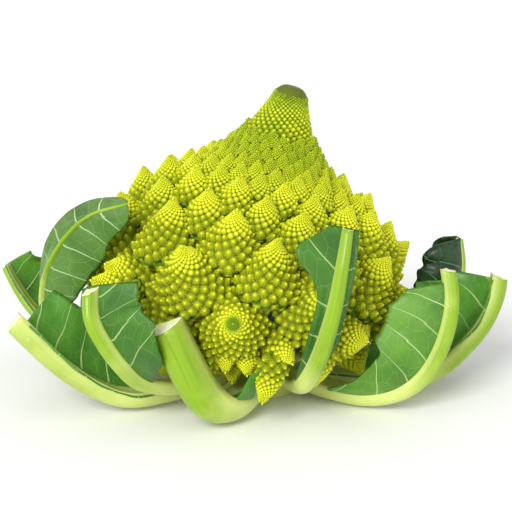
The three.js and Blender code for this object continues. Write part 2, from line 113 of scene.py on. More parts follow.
def addNode(tree, kind, inputs=None, output=0, stops=None, **settings):
    # one node with its settings and links; gives back the output that is wanted
    node = tree.nodes.new("ShaderNode" + kind)
    for key, value in settings.items():
        setattr(node, key, value)
    for key, value in (inputs or {}).items():
        if isinstance(value, bpy.types.NodeSocket):
            tree.links.new(value, node.inputs[key])
        else:
            node.inputs[key].default_value = fromHex(value) if isinstance(value, str) else value
    for i, (position, colour) in enumerate(stops or []):
        elements = node.color_ramp.elements
        element = elements[i] if i < 2 else elements.new(position)
        element.position = position
        element.color = fromHex(colour) if isinstance(colour, str) else (colour, colour, colour, 1)
    return node.outputs[output]


def newMaterial(name):
    material = bpy.data.materials.new(name)
    material.use_nodes = True
    tree = material.node_tree
    return material, tree, tree.nodes["Principled BSDF"]


def setSkin(tree, shader, colour, normal, look):
    # plant skin: colour and relief are linked, the rest are plain values
    tree.links.new(colour, shader.inputs["Base Color"])
    tree.links.new(normal, shader.inputs["Normal"])
    shader.inputs["Roughness"].default_value = look["roughness"]
    shader.inputs["IOR"].default_value = look["ior"]
    shader.inputs["Subsurface Weight"].default_value = look["depthWeight"]
    shader.inputs["Subsurface Radius"].default_value = (0.8, 1.0, 0.25)
    shader.inputs["Subsurface Scale"].default_value = look["depthSize"] * mm


curdLook = {
    "creviceShade": "#6E8E0C",
    "flank": "#C8D416",
    "top": "#E6EA26",
    "shade": "#7A9E28",
    "cap": "#76801A",
    "capGapShade": "#2E3A06",
    "capShown": 0.9,
    "patch": 30,
    "roughness": 0.45,
    "ior": 1.36,
    "depthWeight": 0.4,
    "depthSize": 1.6,
}
budSpiral = {"arms": (13, 8), "twists": (30.7, -35.6), "depth": 0.11, "fadeFrom": 0.5, "fadeTo": 1.3}
tipSpiral = {"arms": (34, 21), "twists": (76, -88), "depth": 0.02, "fadeFrom": 1.5, "fadeTo": 4}


def curdMaterial(name, swirl, capRadius=0):
    # raw brassica curd: waxy buds packed in spirals, yellow on top; the dark green between them is painted
    # shade
    material, tree, shader = newMaterial(name)
    spiral = addNode(tree, "Attribute", output="Vector", attribute_name="spiral")
    flatX = addNode(tree, "SeparateXYZ", {0: spiral}, output="X")
    flatY = addNode(tree, "SeparateXYZ", {0: spiral}, output="Y")
    reach = addNode(tree, "SeparateXYZ", {0: spiral}, output="Z")
    angle = addNode(tree, "Math", {0: flatY, 1: flatX}, operation="ARCTAN2")
    safeReach = addNode(tree, "Math", {0: reach, 1: 1e-5}, operation="MAXIMUM")
    spread = addNode(tree, "Math", {0: safeReach, 1: math.e}, operation="LOGARITHM")
    waves = []
    for arms, twist in zip(swirl["arms"], swirl["twists"]):
        twisted = addNode(tree, "Math", {0: spread, 1: twist}, operation="MULTIPLY")
        turned = addNode(tree, "Math", {0: angle, 1: arms, 2: twisted}, operation="MULTIPLY_ADD")
        waves.append(addNode(tree, "Math", {0: turned}, operation="COSINE"))
    lattice = addNode(tree, "Math", {0: waves[0], 1: waves[1]}, operation="ADD")
    shown = addNode(tree, "MapRange", {
        "Value": reach, "From Min": swirl["fadeFrom"] * mm, "From Max": swirl["fadeTo"] * mm, "To Max": 0.5,
    }, interpolation_type="SMOOTHSTEP")
    lattice = addNode(tree, "Math", {0: lattice, 1: shown}, operation="MULTIPLY")
    tall = addNode(tree, "Math", {0: reach, 1: swirl["depth"]}, operation="MULTIPLY")
    height = addNode(tree, "Math", {0: lattice, 1: tall}, operation="MULTIPLY")
    rise = addNode(tree, "Attribute", output="Fac", attribute_name="rise")
    # painted shade: each bud darkens from its top down into the crevices below it, and the troughs of the
    # spiral lattice darken too
    level = addNode(tree, "Math", {0: lattice, 1: 0.5, 2: rise}, operation="MULTIPLY_ADD")
    colour = addNode(tree, "ValToRGB", {"Fac": level},
                     stops=[(0.0, curdLook["creviceShade"]), (0.2, curdLook["flank"]), (0.75, curdLook["top"])])
    place = addNode(tree, "TexCoord", output="Object")
    patches = addNode(tree, "TexNoise",
                      {"Vector": place, "Scale": 1 / (curdLook["patch"] * mm), "Detail": 2.0})
    # tone: the buds' own greener colour, by chance and near the tip, plus painted shadow under the tall leaf
    tone = addNode(tree, "Attribute", output="Fac", attribute_name="tone")
    greenerOrShaded = addNode(tree, "Math", {0: patches, 1: 0.15, 2: tone}, operation="MULTIPLY_ADD")
    colour = addNode(tree, "Mix", {0: greenerOrShaded, 6: colour, 7: curdLook["shade"]}, output=2, data_type="RGBA",
                     blend_type="MULTIPLY")
    if capRadius:
        # the very tip is an olive cap of buds too young to tell apart, with painted shade in the grain
        # between them
        cap = addNode(tree, "MapRange", {
            "Value": reach, "From Min": capRadius * mm, "From Max": capRadius * 1.5 * mm,
            "To Min": curdLook["capShown"], "To Max": 0.0,
        }, interpolation_type="SMOOTHSTEP")
        grain = addNode(tree, "Math", {0: lattice, 1: 0.35, 2: 0.5}, operation="MULTIPLY_ADD")
        capColour = addNode(tree, "ValToRGB", {"Fac": grain},
                            stops=[(0.25, curdLook["capGapShade"]), (0.75, curdLook["cap"])])
        colour = addNode(tree, "Mix", {0: cap, 6: colour, 7: capColour}, output=2, data_type="RGBA")
    bump = addNode(tree, "Bump", {"Height": height, "Strength": 1.0, "Distance": 1.0})
    setSkin(tree, shader, colour, bump, curdLook)
    return material


ribLook = {
    "body": "#87AA1C",
    "deep": "#598216",
    "pale": "#CCD77B",
    "edge": "#CDD67F",
    "spot": "#DCE2B8",
    "streakWidth": 1.5,
    "streakLength": 45,
    "blotch": 24,
    "spotSpacing": 8,
    "roughness": 0.3,
    "ior": 1.42,
    "depthWeight": 0.12,
    "depthSize": 2,
}


def ribMaterial():
    # fresh brassica midrib: glossy wet-looking skin, white towards the foot, with lengthways fibres
    material, tree, shader = newMaterial("Fresh leaf rib skin")
    ribPlace = addNode(tree, "Attribute", output="Vector", attribute_name="ribPlace")
    paleness = addNode(tree, "Attribute", output="Fac", attribute_name="paleness")
    corner = addNode(tree, "Attribute", output="Fac", attribute_name="corner")
    place = addNode(tree, "TexCoord", output="Object")
    blotches = addNode(tree, "TexNoise",
                       {"Vector": place, "Scale": 1 / (ribLook["blotch"] * mm), "Detail": 3.0})
    stretched = addNode(tree, "Mapping", {"Vector": ribPlace,
                        "Scale": (1 / ribLook["streakWidth"], 1 / ribLook["streakLength"], 1)})
    streaks = addNode(tree, "TexNoise", {"Vector": stretched, "Scale": 1.0, "Detail": 2.0})
    deepness = addNode(tree, "ValToRGB", {"Fac": streaks}, stops=[(0.5, 0.0), (0.72, 0.6)])
    colour = addNode(tree, "Mix", {0: deepness, 6: ribLook["body"], 7: ribLook["deep"]}, output=2,
                     data_type="RGBA")
    washed = addNode(tree, "Math", {0: blotches, 1: 0.9, 2: paleness}, operation="MULTIPLY_ADD")
    washed = addNode(tree, "ValToRGB", {"Fac": washed}, stops=[(0.5, 0.0), (0.95, 0.95)])
    colour = addNode(tree, "Mix", {0: washed, 6: colour, 7: ribLook["pale"]}, output=2, data_type="RGBA")
    rim = addNode(tree, "Math", {0: corner, 1: 0.75}, operation="MULTIPLY")
    colour = addNode(tree, "Mix", {0: rim, 6: colour, 7: ribLook["edge"]}, output=2, data_type="RGBA")
    spots = addNode(tree, "TexVoronoi", {"Vector": place, "Scale": 1 / (ribLook["spotSpacing"] * mm)},
                    output="Distance")
    spots = addNode(tree, "ValToRGB", {"Fac": spots}, stops=[(0.03, 0.6), (0.06, 0.0)])
    colour = addNode(tree, "Mix", {0: spots, 6: colour, 7: ribLook["spot"]}, output=2, data_type="RGBA")
    bump = addNode(tree, "Bump", {"Height": streaks, "Strength": 0.3, "Distance": 0.5 * mm})
    setSkin(tree, shader, colour, bump, ribLook)
    return material


cutLook = {
    "pith": "#FAF8D8",
    "damp": "#ECECB0",
    "fibre": "#C2C27C",
    "fibreSpacing": 1.3,
    "patch": 5,
    "roughness": 0.5,
    "ior": 1.38,
    "depthWeight": 0.1,
    "depthSize": 1.5,
}


def cutMaterial():
    # freshly cut stalk: moist cream pith with the ends of its fibres
    material, tree, shader = newMaterial("Cut stalk pith")
    place = addNode(tree, "TexCoord", output="Object")
    fibres = addNode(tree, "TexVoronoi", {"Vector": place, "Scale": 1 / (cutLook["fibreSpacing"] * mm)},
                     output="Distance")
    patches = addNode(tree, "TexNoise",
                      {"Vector": place, "Scale": 1 / (cutLook["patch"] * mm), "Detail": 4.0})
    colour = addNode(tree, "ValToRGB", {"Fac": patches},
                     stops=[(0.38, cutLook["damp"]), (0.6, cutLook["pith"])])
    dots = addNode(tree, "ValToRGB", {"Fac": fibres}, stops=[(0.1, 0.5), (0.4, 0.0)])
    colour = addNode(tree, "Mix", {0: dots, 6: colour, 7: cutLook["fibre"]}, output=2, data_type="RGBA")
    relief = addNode(tree, "Math", {0: patches, 1: 2.0, 2: fibres}, operation="MULTIPLY_ADD")
    bump = addNode(tree, "Bump", {"Height": relief, "Strength": 0.4, "Distance": 0.6 * mm})
    setSkin(tree, shader, colour, bump, cutLook)
    return material


bladeLook = {
    "veinSpacing": 17,
    "veinWidth": 0.62,
    "veinTaper": 0.36,
    "veinShown": 0.85,
    "wander": 30,
    "netCell": 8,
    "netWidth": 0.2,
    "netShown": 0.14,
    "patch": 20,
    "pucker": 3.2,
    "roughness": 0.4,
    "ior": 1.42,
    "depthWeight": 0.08,
    "depthSize": 1,
}


def bladeMaterial(name, inner, outer, vein):
    # brassica leaf blade: leathery and waxy, with pale side veins and a faint net between them
    material, tree, shader = newMaterial(name)
    sheetPlace = addNode(tree, "Attribute", output="Vector", attribute_name="sheetPlace")
    length = addNode(tree, "SeparateXYZ", {0: sheetPlace}, output="Y")
    across = addNode(tree, "SeparateXYZ", {0: sheetPlace}, output="Z")
    place = addNode(tree, "TexCoord", output="Object")
    wander = addNode(tree, "TexNoise", {
        "Vector": sheetPlace, "Scale": 1 / bladeLook["wander"], "Detail": 1.0, "Roughness": 0.5,
    })
    line = addNode(tree, "Math", {0: length, 1: 1 / bladeLook["veinSpacing"]}, operation="MULTIPLY")
    line = addNode(tree, "Math", {0: wander, 1: 0.8, 2: line}, operation="MULTIPLY_ADD")
    away = addNode(tree, "Math", {0: line, 1: 0.5}, operation="PINGPONG")
    width = addNode(tree, "Math", {0: across, 1: -bladeLook["veinTaper"], 2: bladeLook["veinWidth"]},
                    operation="MULTIPLY_ADD")
    away = addNode(tree, "Math", {0: away, 1: bladeLook["veinSpacing"]}, operation="MULTIPLY")
    away = addNode(tree, "Math", {0: away, 1: width}, operation="DIVIDE")
    veins = addNode(tree, "MapRange", {
        "Value": away, "From Min": 0.45, "From Max": 1.2, "To Min": 1.0, "To Max": 0.0,
    }, interpolation_type="SMOOTHSTEP")
    net = addNode(tree, "TexVoronoi",
                  {"Vector": sheetPlace, "Scale": 1 / bladeLook["netCell"], "Randomness": 0.9},
                  voronoi_dimensions="2D", feature="DISTANCE_TO_EDGE")
    netEdge = bladeLook["netWidth"] / bladeLook["netCell"]
    net = addNode(tree, "MapRange", {
        "Value": net, "From Min": netEdge * 0.3, "From Max": netEdge * 1.5, "To Min": 1.0, "To Max": 0.0,
    }, interpolation_type="SMOOTHSTEP")
    patches = addNode(tree, "TexNoise",
                      {"Vector": place, "Scale": 1 / (bladeLook["patch"] * mm), "Detail": 3.0})
    innerColour = addNode(tree, "ValToRGB", {"Fac": patches}, stops=[(0.34, inner[0]), (0.66, inner[1])])
    outerColour = addNode(tree, "ValToRGB", {"Fac": patches}, stops=[(0.34, outer[0]), (0.66, outer[1])])
    outside = addNode(tree, "Attribute", output="Fac", attribute_name="outside")
    colour = addNode(tree, "Mix", {0: outside, 6: innerColour, 7: outerColour}, output=2, data_type="RGBA")
    netShown = addNode(tree, "Math", {0: net, 1: bladeLook["netShown"]}, operation="MULTIPLY")
    colour = addNode(tree, "Mix", {0: netShown, 6: colour, 7: vein}, output=2, data_type="RGBA")
    veinShown = addNode(tree, "Math", {0: veins, 1: bladeLook["veinShown"]}, operation="MULTIPLY")
    colour = addNode(tree, "Mix", {0: veinShown, 6: colour, 7: vein}, output=2, data_type="RGBA")
    puckers = addNode(tree, "TexNoise",
                      {"Vector": place, "Scale": 1 / (bladeLook["pucker"] * mm), "Detail": 2.0})
    relief = addNode(tree, "Math", {0: net, 1: -0.3, 2: puckers}, operation="MULTIPLY_ADD")
    relief = addNode(tree, "Math", {0: veins, 1: -1.0, 2: relief}, operation="MULTIPLY_ADD")
    bump = addNode(tree, "Bump", {"Height": relief, "Strength": 0.6, "Distance": 0.45 * mm})
    setSkin(tree, shader, colour, bump, bladeLook)
    return material


coreLook = {
    # painted shade: the dark green of the gaps between florets
    "gap": "#22360A",
    "stalk": "#A9B86A",
    "paleBelow": 26,
    "darkAbove": 33,
    "patch": 9,
    "roughness": 0.5,
    "ior": 1.42,
    "depthWeight": 0.1,
    "depthSize": 2,
}


def coreMaterial():
    # curd stalk flesh: painted shade makes it dark green above, where the florets would shade it; pale and
    # fibrous underneath
    material, tree, shader = newMaterial("Romanesco stalk flesh")
    place = addNode(tree, "TexCoord", output="Object")
    height = addNode(tree, "SeparateXYZ", {0: place}, output="Z")
    patches = addNode(tree, "TexNoise",
                      {"Vector": place, "Scale": 1 / (coreLook["patch"] * mm), "Detail": 3.0})
    low = addNode(tree, "MapRange", {
        "Value": height, "From Min": coreLook["paleBelow"] * mm, "From Max": coreLook["darkAbove"] * mm,
        "To Min": 1.0, "To Max": 0.0,
    }, interpolation_type="SMOOTHSTEP")
    colour = addNode(tree, "Mix", {0: low, 6: coreLook["gap"], 7: coreLook["stalk"]}, output=2,
                     data_type="RGBA")
    bump = addNode(tree, "Bump", {"Height": patches, "Strength": 0.5, "Distance": 0.6 * mm})
    setSkin(tree, shader, colour, bump, coreLook)
    return material


coreSkin = coreMaterial()
curdSkin = curdMaterial("Waxy romanesco buds", budSpiral)
tipSkin = curdMaterial("Young romanesco tip", tipSpiral, capRadius=9)
ribSkin = ribMaterial()
cutPith = cutMaterial()
bladeSkins = {
    "green": bladeMaterial(
        "Waxy green leaf blade", ("#3B761F", "#528C2A"), ("#437927", "#5A9635"), "#B4D088"),
    # painted shade: a darker copy of the green blade for the leaves that face the key light
    "deep": bladeMaterial(
        "Green leaf blade in painted shade", ("#295D10", "#3B6F17"), ("#306015", "#41771E"), "#A2BE74"),
    "light": bladeMaterial(
        "Young light leaf blade", ("#477C20", "#62972C"), ("#427523", "#649538"), "#B4D084"),
    "glaucous": bladeMaterial(
        "Glaucous leaf blade", ("#3D681F", "#537E2E"), ("#395F29", "#64853F"), "#B2CC94"),
    # painted shade: a near-black copy of the blade for the curled back leaf, whose pocket lies in shadow
    "dark": bladeMaterial(
        "Curled leaf blade in painted shade", ("#041707", "#102D13"), ("#0D2B10", "#284829"), "#6C8C62"),
}
print("materials ready")


# the head's own surface, in millimetres

head = {
    "baseX": -7.1,
    "baseZ": 24,
    "height": 127,
    "leanBottom": 6.1,
    "leanTop": 16.5,
    "depthShare": 0.94,
    "outline": [(0, 127), (4.8, 126.2), (7.8, 123), (9.2, 118), (15, 104), (23, 90), (33, 79), (44, 67),
                (53, 53), (60.5, 41), (61, 27), (57, 13), (46, 3), (34, 0), (24, 3)],
    "stepsBetween": 40,
}
axisTurn = math.radians(head["leanTop"] - head["leanBottom"]) / head["height"]


def leaned(place):
    # moves a point of an upright head onto the leaning one
    start = math.radians(head["leanBottom"])
    lean = start + axisTurn * place[2]
    x = head["baseX"] + (math.cos(start) - math.cos(lean)) / axisTurn + place[0] * math.cos(lean)
    z = head["baseZ"] + (math.sin(lean) - math.sin(start)) / axisTurn - place[0] * math.sin(lean)
    return Vector((x, place[1] * head["depthShare"], z))


def outlineRows():
    rows = [(0, *head["outline"][0])]
    steps = head["stepsBetween"] * (len(head["outline"]) - 1)
    for i in range(1, steps + 1):
        r, h = pointOn(head["outline"], i / steps)
        s, oldR, oldH = rows[-1]
        rows.append((s + math.hypot(r - oldR, h - oldH), r, h))
    return rows


headRows = outlineRows()


def outlineAt(s):
    low, high = 0, len(headRows) - 1
    while high - low > 1:
        middle = (low + high) // 2
        if headRows[middle][0] < s:
            low = middle
        else:
            high = middle
    a, b = headRows[low], headRows[high]
    t = (s - a[0]) / (b[0] - a[0])
    return a[1] + (b[1] - a[1]) * t, a[2] + (b[2] - a[2]) * t


def surfaceAt(s, angle):
    r, h = outlineAt(s)
    return leaned((r * math.cos(angle), r * math.sin(angle), h))


def standAt(s, angle):
    point = surfaceAt(s, angle)
    up = (surfaceAt(s - 0.5, angle) - surfaceAt(s + 0.5, angle)).normalized()
    around = (surfaceAt(s, angle + 0.01) - surfaceAt(s, angle - 0.01)).normalized()
    return point, around.cross(up).normalized(), up


# leaves: layout

leafShape = {
    "strip": 0.46,
    "lift": -1.0,
    "thickness": 0.7,
    "ripples": 3,
    "phase": 1.7,
    "lobes": [(0.07, 9), (0.04, 21)],
    "flareAt": 0.84,
    "flareOver": 0.11,
    "taperFrom": 0.7,
    "blunt": 0.75,
    "least": 0.8,
    "roundness": 0.8,
}


def half(start, end, width, foldStart, foldEnd, wave, flare=0, roundFrom=None):
    return {"from": start, "to": end, "width": width, "fold": (foldStart, foldEnd), "wave": wave,
            "flare": flare, "roundFrom": roundFrom}


leaves = [
    {"name": "leaf_front_right", "skin": "deep", "cut": 10,
     "path": [(7, -19, 18), (14, -33, 15.5), (20, -46, 16), (23.5, -60, 22.5), (28.5, -71, 36),
              (32.5, -77, 51), (35.8, -79, 66), (38.6, -77, 83), (41, -71, 98)],
     "heading": (292, 292), "width": (11, 9, 5.5), "depth": (8, 7, 4),
     "right": half(0.36, 1, 5.5, 5, 12, 0.6, flare=14), "left": half(0.36, 1, 4, 5, 10, 0.3)},
    {"name": "leaf_right_front", "skin": "light", "cut": 25,
     "path": [(16, -11, 9), (33, -23, 6.5), (51, -32, 5.5), (66, -38, 9.5), (77.5, -40.5, 18),
              (85, -42, 31), (89.5, -42, 46), (90.5, -40, 59), (88.8, -37, 70.5)],
     "heading": (328, 332), "width": (12, 8.5, 6.5), "depth": (8, 8, 6),
     "right": half(0.15, 0.93, 27, 30, 75, 1.2), "left": half(0.3, 0.9, 12, 40, 80, 0.8)},
    {"name": "leaf_right", "skin": "green", "cut": 20,
     "path": [(21, 0, 9), (40, -5, 7), (60, -9, 6), (77, -10, 7), (91, -9, 14.5), (103, -7, 26),
              (110, -5, 35), (115, -2.5, 46), (117, -0.5, 57)],
     "heading": (357, 357), "width": (13, 12, 12), "depth": (8, 9, 8),
     "right": half(0.5, 0.96, 2, 30, 40, 0.3), "left": half(0.1, 0.97, 36, 25, 90, 1.5)},
    {"name": "leaf_back_right", "skin": "dark", "cut": 20,
     "path": [(17, 12, 19), (38, 20, 13), (60, 25, 9), (80, 30, 12), (95, 34, 28), (102, 36, 48),
              (101, 36, 66)],
     "heading": (18, 18), "width": (11, 8, 4), "depth": (7, 6, 3),
     "right": half(0.5, 1, 25, 45, 140, 1, roundFrom=0.88),
     "left": half(0.4, 1, 16, 20, 60, 1.4, roundFrom=0.9)},
    {"name": "leaf_back_1", "skin": "green", "cut": 20,
     "path": [(10, 18, 9), (20, 36, 7), (34, 56, 5), (48, 74, 10), (58, 86, 26), (62, 92, 46)],
     "heading": (56, 56), "width": (13, 11, 9), "depth": (8, 8, 7),
     "right": half(0.3, 0.95, 22, 25, 80, 1.5), "left": half(0.3, 0.93, 20, 25, 80, 1.2)},
    {"name": "leaf_back_2", "skin": "green", "cut": 20,
     "path": [(1, 21, 19), (3, 38, 14), (5, 58, 8), (7, 77, 9), (8, 90, 22), (8, 96, 42), (7, 94, 60)],
     "heading": (88, 88), "width": (12, 10, 7), "depth": (8, 7, 6),
     "right": half(0.35, 0.96, 24, 20, 75, 1.5), "left": half(0.3, 0.95, 26, 20, 85, 1.8)},
    {"name": "leaf_back_3", "skin": "light", "cut": 20,
     "path": [(-9, 18, 9), (-18, 37, 7), (-28, 57, 5), (-38, 73, 9), (-46, 85, 22), (-50, 90, 38)],
     "heading": (117, 117), "width": (13, 11, 10), "depth": (8, 8, 8),
     "right": half(0.35, 0.9, 16, 25, 70, 1), "left": half(0.3, 0.94, 20, 25, 80, 1.5)},
    {"name": "leaf_back_4", "skin": "green", "cut": 20,
     "path": [(-16, 13, 19), (-32, 26, 14), (-50, 40, 8), (-68, 52, 10), (-80, 60, 24), (-85, 64, 40),
              (-84, 62, 54)],
     "heading": (141, 141), "width": (11, 8, 6), "depth": (7, 6, 5),
     "right": half(0.35, 0.97, 18, 20, 70, 1.2), "left": half(0.35, 0.97, 16, 20, 70, 1.2)},
    {"name": "leaf_left_back", "skin": "green", "cut": 20,
     "path": [(-20, 5, 9), (-40, 14, 7), (-61, 19, 7), (-84, 22, 13.5), (-101, 22.5, 23),
              (-112, 23.5, 34.5), (-118.5, 24.5, 44.5), (-123.5, 25.5, 54.5)],
     "heading": (169, 169), "width": (12, 8, 4.5), "depth": (7, 6, 4),
     "right": half(0.4, 1, 22, 15, 65, 1), "left": half(0.5, 1, 2, 20, 30, 0.3)},
    {"name": "leaf_left_tall", "skin": "glaucous", "cut": 0,
     "path": [(-20, -5, 19), (-41, -5, 13), (-64, -3, 9), (-85, -1, 12), (-97, -3, 26), (-102, -7, 42),
              (-100.5, -13, 58), (-94.5, -21, 72.5), (-86, -29, 85.5), (-75, -36, 95.5), (-58, -45, 102.5)],
     "heading": (190, 238), "width": (9, 3.4, 1.6), "depth": (6.5, 3.2, 1.5),
     "right": half(0.38, 1, 6.5, 8, 15, 0.6, roundFrom=0.8),
     "left": half(0.33, 1, 18, 8, 25, 1.2, roundFrom=0.72)},
    {"name": "leaf_left_low", "skin": "green", "cut": 8,
     "path": [(-17, -11, 9), (-33, -24, 7.5), (-52, -35, 6.5), (-64, -39, 8), (-75, -42, 13.3),
              (-85, -44, 20.3), (-94, -45, 28.3), (-102, -45.5, 36.5), (-112, -46, 47.5)],
     "heading": (203, 203), "width": (13, 12, 13), "depth": (8, 9, 10),
     "right": half(0.22, 0.95, 31.5, 45, 80, 1.2), "left": half(0.5, 0.95, 2, 20, 30, 0.3)},
    {"name": "leaf_left_front", "skin": "deep", "cut": 42,
     "path": [(-11, -18, 19), (-24, -33, 15.5), (-38, -47, 15.5), (-53, -60, 22), (-62.5, -68, 34),
              (-70, -70, 46), (-74.5, -68, 56), (-75, -62, 69)],
     "heading": (226, 226), "width": (10, 7.5, 7.5), "depth": (7, 7, 6.5),
     "right": half(0.55, 1, 8, 20, 30, 0.3), "left": half(0.4, 0.96, 25.5, 14, 25, 0.8)},
    {"name": "leaf_front", "skin": "green", "cut": 4,
     "path": [(-1, -21, 9), (-4, -38, 8), (-11, -53, 7.5), (-20, -63, 11), (-27, -68, 20), (-34, -71, 35),
              (-42, -72, 53)],
     "heading": (255, 255), "width": (14, 18, 17), "depth": (9, 13, 12),
     "right": half(0.3, 0.34, 1, 10, 20, 0), "left": half(0.12, 0.42, 20, 50, 60, 0.8)},
]


def leafFrame(leaf, share):
    # a point of the rib, with the way along it, to its right and to its inner face
    point = pointOn(leaf["path"], share)
    ahead = pointOn(leaf["path"], min(share + 0.01, 1))
    tangent = (ahead - pointOn(leaf["path"], max(share - 0.01, 0))).normalized()
    first, last = leaf["heading"]
    heading = math.radians(first + (last - first) * smooth(0.3, 0.85, share))
    right = Vector((math.sin(heading), -math.cos(heading), 0))
    right = (right - tangent * right.dot(tangent)).normalized()
    return point, tangent, right, right.cross(tangent)


def halfWidth(part, share, seed):
    t = (share - part["from"]) / (part["to"] - part["from"])
    grown = math.sqrt(smooth(-0.02, 0.55, t))
    lobes = 1 + sum(high * math.sin(pace * t + (k + 1) * seed)
                    for k, (high, pace) in enumerate(leafShape["lobes"]))
    flare = part["flare"] * math.exp(-((t - leafShape["flareAt"]) / leafShape["flareOver"]) ** 2)
    if part["roundFrom"]:
        end = math.sqrt(max(1 - (max(t - part["roundFrom"], 0) / (1 - part["roundFrom"])) ** 2, 0))
    else:
        end = 1 - (1 - leafShape["blunt"]) * smooth(leafShape["taperFrom"], 1, t)
    return max(leafShape["least"], part["width"] * grown * lobes * end + flare)


def bladePoint(leaf, index, share, across, lift):
    # a point of the blade's outer face, its normal, and how far it is from the rib; across runs from -1 to 1
    point, tangent, right, inner = leafFrame(leaf, share)
    side = -1 if across < 0 else 1
    part = leaf["left"] if across < 0 else leaf["right"]
    inside = min(max(share, part["from"]), part["to"])
    reach = halfWidth(part, inside, index) * abs(across)
    start = math.radians(part["fold"][0])
    turn = math.radians(part["fold"][1] - part["fold"][0]) * abs(across)
    middle = start + turn / 2
    chord = math.sin(turn / 2) / (turn / 2) if turn > 1e-6 else 1
    ripple = leafShape["ripples"] * 2 * math.pi * share + index * leafShape["phase"]
    wave = part["wave"] * across * across * math.sin(ripple)
    fold = start + turn
    normal = inner * math.cos(fold) - right * side * math.sin(fold)
    strip = along(leaf["width"], share) * leafShape["strip"]
    place = (point + inner * (along(leaf["depth"], share) / 2 + lift + reach * chord * math.sin(middle))
             + right * side * (strip + reach * chord * math.cos(middle)) + normal * wave)
    return place, normal, side * reach


# florets: layout

floretShape = {
    "perDistance": 0.1,
    "step": 17,
    "stepAt": 70,
    "stepOver": 14,
    "most": 26.5,
    "firstAt": 12,
    "startAngle": 248,
    "packing": 0.866,
    "lastAt": 158,
    "length": 0.95,
    "radius": 0.63,
    "belly": -0.1,
    "lift": 38,
    "hangDrop": 52,
    "hangFrom": 105,
    "hangTo": 150,
    "bend": 0.07,
    "buddedFrom": 30,
    "clearOfLeaves": 1.5,
    "tries": 10,
    "shrinkBy": 0.88,
    "shrinkAt": (0.15, 0.45, 0.75, 1),
    "chance": {"lift": 10, "turn": 0.16, "least": 0.94, "size": 0.16},
}


def floretWidth(s):
    stepped = floretShape["step"] / (1 + math.exp((floretShape["stepAt"] - s) / floretShape["stepOver"]))
    return min(floretShape["most"], floretShape["perDistance"] * s + stepped)


def floretSpots():
    # every floret in order down the golden-angle spiral
    spots = []
    s = floretShape["firstAt"]
    n = 0
    while s < floretShape["lastAt"]:
        width = floretWidth(s)
        spots.append({"n": n, "s": s, "width": width,
                      "angle": math.radians(floretShape["startAngle"]) + n * goldenAngle})
        s += floretShape["packing"] * width * width / (2 * math.pi * outlineAt(s)[0])
        n += 1
    return spots


def placeFloret(spot):
    point, normal, up = standAt(spot["s"], spot["angle"])
    n = spot["n"]
    chance = floretShape["chance"]
    hanging = smooth(floretShape["hangFrom"], floretShape["hangTo"], spot["s"])
    dropped = floretShape["lift"] - floretShape["hangDrop"] * hanging
    lift = math.radians(dropped + chance["lift"] * (draw(n, 1) - 0.5))
    axis = normal * math.cos(lift) + up * math.sin(lift)
    side = axis.cross(up).normalized()
    axis = (axis + side * chance["turn"] * (draw(n, 2) - 0.5)).normalized()
    bend = side.cross(axis).normalized()
    size = spot["width"] * (chance["least"] + chance["size"] * draw(n, 3))
    return {**spot, "point": point, "axis": axis, "side": side, "bend": bend, "size": size, "stretch": 1,
            "belly": floretShape["belly"]}


def lengthOf(floret):
    return floretShape["length"] * floret["size"] * floret["stretch"]


def coneAt(floret, t):
    length = lengthOf(floret)
    bowed = floret["bend"] * floretShape["bend"] * length * max(t, 0) ** 2
    place = floret["point"] + floret["axis"] * length * t + bowed
    taper = 1 if t <= 0 else (1 - t) * (1 + floret["belly"] * t)
    return place, floretShape["radius"] * floret["size"] * taper


ballGrid = {"rows": 24, "columns": 6, "over": 1, "lift": 0.6, "radius": 0.9}


def leafBalls():
    # balls that fill every leaf, so that the florets can keep clear of them
    balls = []
    for index, leaf in enumerate(leaves):
        start = min(leaf["left"]["from"], leaf["right"]["from"])
        end = max(leaf["left"]["to"], leaf["right"]["to"])
        for i in range(ballGrid["rows"] + 1):
            share = i / ballGrid["rows"]
            balls.append((leafFrame(leaf, share)[0], along(leaf["depth"], share) / 2 + ballGrid["over"]))
            if start <= share <= end:
                for k in range(-ballGrid["columns"], ballGrid["columns"] + 1):
                    across = k / ballGrid["columns"] or 1e-6
                    balls.append((bladePoint(leaf, index, share, across, ballGrid["lift"])[0],
                                  ballGrid["radius"]))
    return balls


def fittedFlorets(spots):
    balls = leafBalls()
    tree = KDTree(len(balls))
    for i, (place, radius) in enumerate(balls):
        tree.insert(place, i)
    tree.balance()
    widest = max(radius for place, radius in balls)
    florets = []
    for spot in spots:
        floret = placeFloret(spot)
        for attempt in range(floretShape["tries"]):
            crosses = False
            for t in floretShape["shrinkAt"]:
                place, radius = coneAt(floret, t)
                room = radius + floretShape["clearOfLeaves"]
                near = tree.find_range(place, room + widest)
                if any(distance < balls[i][1] + room for co, i, distance in near):
                    crosses = True
                    break
            if not crosses:
                florets.append(floret)
                break
            floret["size"] *= floretShape["shrinkBy"]
    return florets


# florets set one by one where the spiral leaves a gap: low at the front, and one at either side
hangers = [
    {"foot": (5, -44, 44), "tip": (17, -66, 31), "width": 17, "belly": 0.2},
    {"foot": (-14, -44, 40), "tip": (-14, -59, 25), "width": 14, "belly": 0.3},
    {"foot": (-4, -44, 38), "tip": (-4, -61, 24), "width": 14, "belly": 0.3},
    {"foot": (-11, -38, 32), "tip": (-11, -50, 17), "width": 13, "belly": 0.4},
    {"foot": (2, -38, 32), "tip": (1, -52, 18), "width": 13, "belly": 0.4},
    {"foot": (-60, -38, 60), "tip": (-77, -46, 66), "width": 18, "belly": 0.1},
    {"foot": (43, -28, 46), "tip": (52, -44, 36), "width": 15, "belly": 0.2},
    {"foot": (8, -56, 31), "tip": (2.7, -67, 13), "width": 11, "belly": 0.8},
    {"foot": (29, -48, 33), "tip": (25, -60, 18), "width": 12, "belly": 0.8},
]


